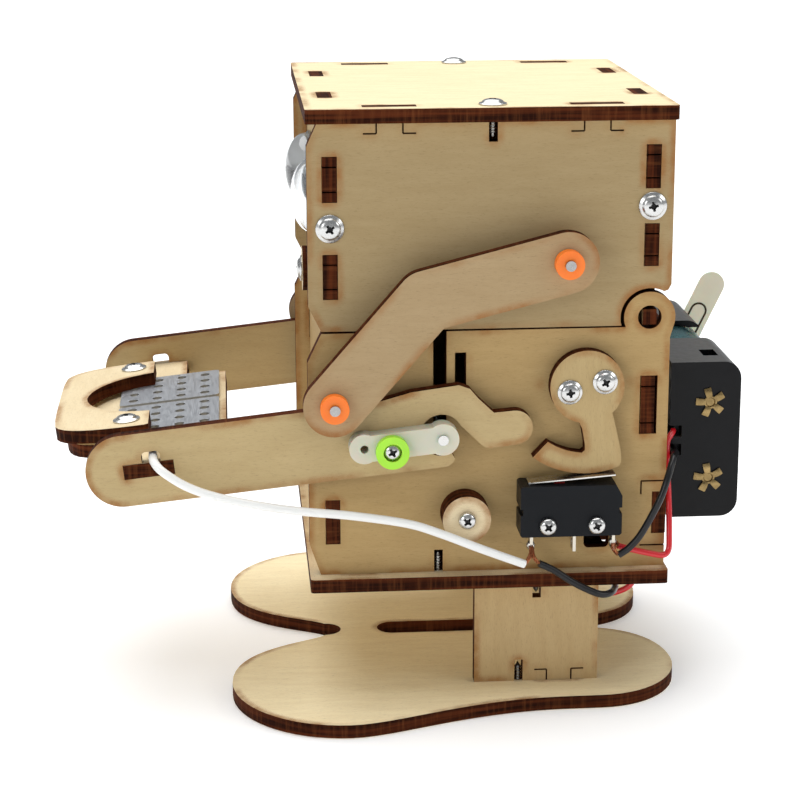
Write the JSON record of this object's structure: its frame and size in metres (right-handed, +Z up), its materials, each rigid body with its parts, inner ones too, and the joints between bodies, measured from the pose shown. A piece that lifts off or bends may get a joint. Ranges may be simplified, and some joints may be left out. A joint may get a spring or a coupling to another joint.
{
  "type": "coin-eating robot kit",
  "caption": "Plywood box robot on a shoe-shaped foot plate: a hinged head with googly eyes, a coin tray on two arms, bent links, a motor-driven cam with limit switch, and a rear battery holder.",
  "frame": {"origin": "centre of the bounding box on the ground plane, under the foot plate", "axes": "+Z up, -X the way the robot faces (towards its coin tray), -Y the robot's left side, which carries the cam, the limit switch and the wires"},
  "size_m": [0.145, 0.1046, 0.1215],
  "materials": {
    "birch_ply": "clear, laser-cut edges",
    "black_plastic": "fine satin",
    "brass": "bright",
    "cell_wrap": "gloss wrap",
    "eye_black": "gloss",
    "eye_clear": "clear",
    "eye_white": "smooth",
    "foam": "foam tape",
    "green_rubber": "satin tube",
    "orange_rubber": "satin tube",
    "pale_ply": "clear, laser-cut edges",
    "red_plastic": "smooth",
    "spring_steel": "satin",
    "steel_plate": "satin",
    "steel_rod": "bright drawn",
    "steel_screw": "nickel plated",
    "strip": "frosted film",
    "tin": "tinned",
    "white_plastic": "translucent nylon",
    "wire_black": "glossy",
    "wire_red": "glossy",
    "wire_white": "glossy"
  },
  "bodies": {
    "frame": {"foot_plate": "pale_ply", "leg_left": "birch_ply", "leg_right": "birch_ply", "floor_plate": "pale_ply", "body_left_panel": "birch_ply", "body_right_panel": "birch_ply", "body_front_panel": "birch_ply", "body_rear_panel": "birch_ply", "rear_door": "birch_ply", "motor_bracket": "white_plastic", "motor_can": "steel_plate", "gearbox_plates": "brass", "gearbox_gears": "brass", "motor_screws": "steel_screw", "body_screws": "steel_screw", "arm_stop_discs": "pale_ply", "battery_holder": "black_plastic", "holder_tape": "foam", "battery_cells": "cell_wrap", "battery_contacts": "brass", "pull_tab": "strip", "switch_case": "black_plastic", "switch_terminals": "tin", "white_wire": "wire_white", "black_battery_wire": "wire_black", "black_motor_wire": "wire_black", "red_battery_wire": "wire_red", "red_motor_wire": "wire_red"},
    "lever": {"switch_lever": "spring_steel"},
    "plunger": {"switch_plunger": "red_plastic"},
    "cam": {"output_shaft": "steel_rod", "output_horn": "white_plastic", "cam": "birch_ply", "cam_screws": "steel_screw"},
    "arms": {"arm_axle": "steel_rod", "arm_left": "birch_ply", "arm_right": "birch_ply", "arm_cranks": "white_plastic", "arm_screws": "steel_screw", "green_sleeves": "green_rubber", "tray_base": "pale_ply", "tray_guide": "pale_ply", "contact_plates": "steel_plate", "lower_link_pins": "steel_rod", "lower_link_sleeves": "orange_rubber"},
    "links": {"link_left": "birch_ply", "link_right": "birch_ply"},
    "head": {"head_top": "pale_ply", "head_left_panel": "birch_ply", "head_right_panel": "birch_ply", "head_front_panel": "birch_ply", "head_rear_panel": "birch_ply", "head_screws": "steel_screw", "nose_disc": "pale_ply", "eye_backs": "eye_white", "eye_pupils": "eye_black", "eye_domes": "eye_clear", "upper_link_axle": "steel_rod", "upper_link_sleeves": "orange_rubber"}
  },
  "joints": [
    {"name": "head_hinge", "type": "hinge", "parent": "frame", "child": "head", "pos_m": [0.04359, 0, 0.0785], "axis": [0, 1, 0], "range_deg": [0, 20]},
    {"name": "arm_hinge", "type": "hinge", "parent": "frame", "child": "arms", "pos_m": [0.00304, 0, 0.05695], "axis": [0, 1, 0], "range_deg": [0, 22.2], "deforming": ["white_wire"]},
    {"name": "link_hinge", "type": "hinge", "parent": "arms", "child": "links", "pos_m": [-0.01762, 0, 0.06376], "axis": [0, 1, 0], "range_deg": [-19.45, 0]},
    {"name": "cam_hinge", "type": "hinge", "parent": "frame", "child": "cam", "pos_m": [0.03124, 0, 0.0657], "axis": [0, -1, 0], "range_deg": [0, 240]},
    {"name": "lever_hinge", "type": "hinge", "parent": "frame", "child": "lever", "pos_m": [0.02004, -0.042, 0.0472], "axis": [0, 1, 0], "range_deg": [0, 4.2], "stiffness_Nm_per_rad": 0.004},
    {"name": "plunger_slide", "type": "slide", "parent": "frame", "child": "plunger", "axis": [0, 0, -1], "range_m": [0, 0.0005]}
  ],
  "couplings": [
    {"joint": "arm_hinge", "follows": "head_hinge", "ratio": 1.095},
    {"joint": "link_hinge", "follows": "head_hinge", "ratio": -0.9575},
    {"joint": "plunger_slide", "follows": "lever_hinge", "m_per_rad": 0.0059}
  ]
}
